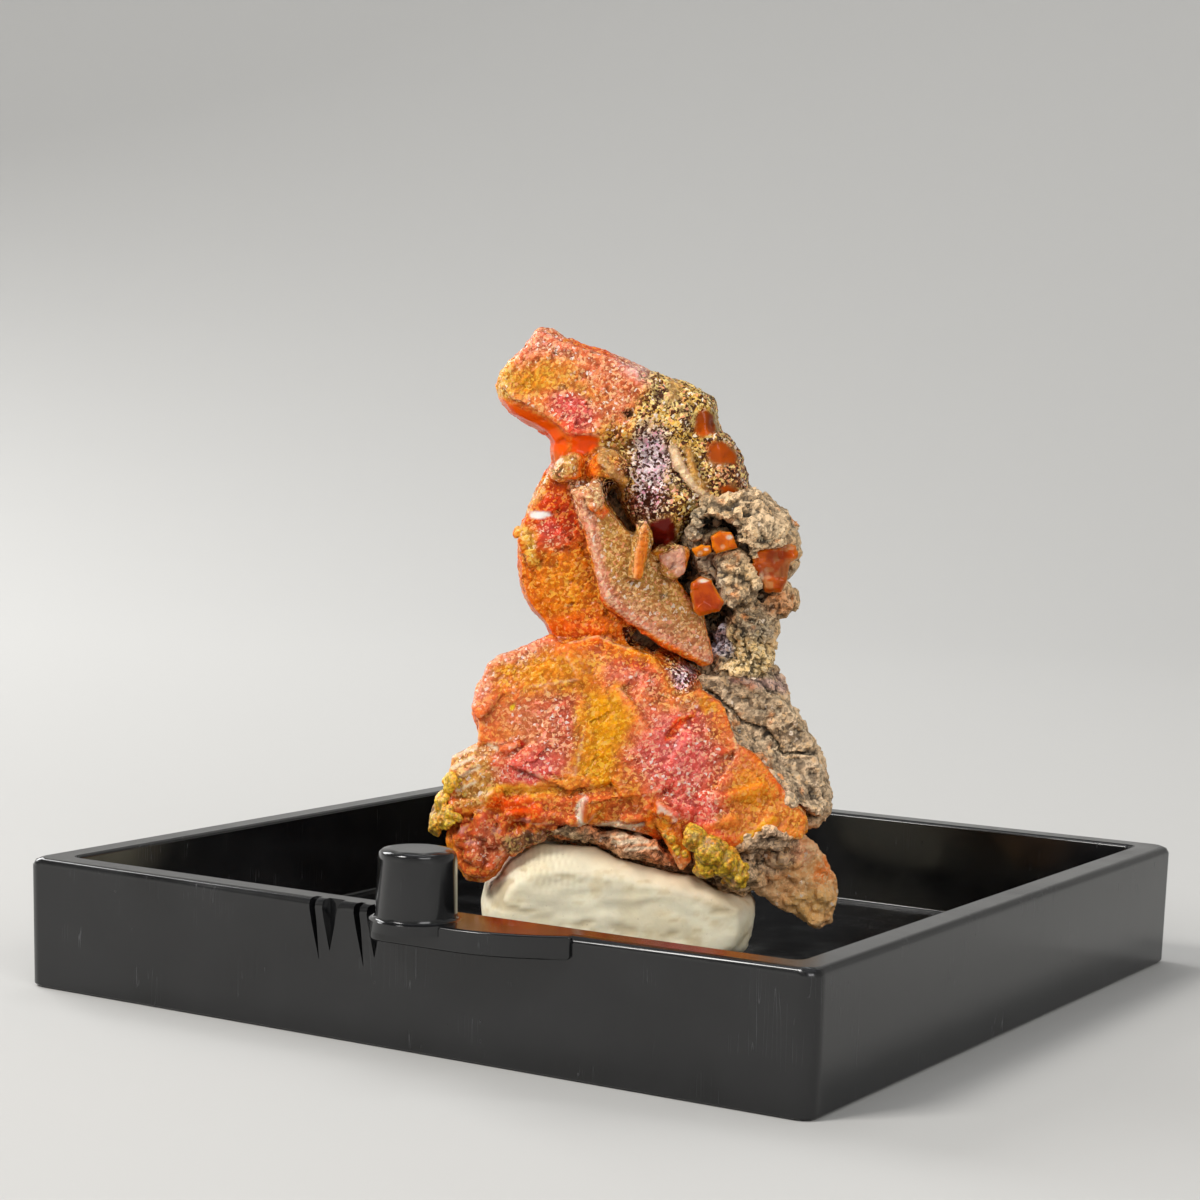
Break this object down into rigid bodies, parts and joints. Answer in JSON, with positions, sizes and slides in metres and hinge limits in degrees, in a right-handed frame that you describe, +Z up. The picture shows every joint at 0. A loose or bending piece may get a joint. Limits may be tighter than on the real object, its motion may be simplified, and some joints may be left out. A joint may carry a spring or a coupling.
{
  "type": "wulfenite specimen on a display base",
  "caption": "Orange wulfenite crystals on grey-brown rock, standing in a pad of mineral tack in a shallow square black box base.",
  "frame": {"origin": "middle of the base's square underside", "axes": "+Z up, -Y towards the wall with the latch, +X to the right of it"},
  "size_m": [0.057, 0.061, 0.0437],
  "materials": {
    "black_plastic": "glossy moulded polystyrene with fine scratches and dust",
    "mineral_tack": "matt cream putty with finger marks and creases",
    "wulfenite": "translucent orange to pink and yellow, with a sparkling drusy skin",
    "matrix": "rough grey-brown rock with a tan crust",
    "red_wulfenite": "dark red crystal, resinous",
    "clear_wulfenite": "bright orange crystal, resinous",
    "mimetite": "yellow-green knobbly crust"
  },
  "bodies": {
    "root": {"display_tray": "black_plastic", "mounting_putty": "mineral_tack", "wulfenite_cluster": "wulfenite", "matrix_rock": "matrix", "red_crystal": "red_wulfenite", "orange_crystal_low": "clear_wulfenite", "orange_crystal_mid": "clear_wulfenite", "orange_crystal_small": "clear_wulfenite", "back_crystal_1": "clear_wulfenite", "back_crystal_2": "clear_wulfenite", "back_crystal_3": "clear_wulfenite", "back_crystal_4": "clear_wulfenite", "mimetite_crust_left": "mimetite", "mimetite_crust_low": "mimetite"}
  },
  "joints": []
}
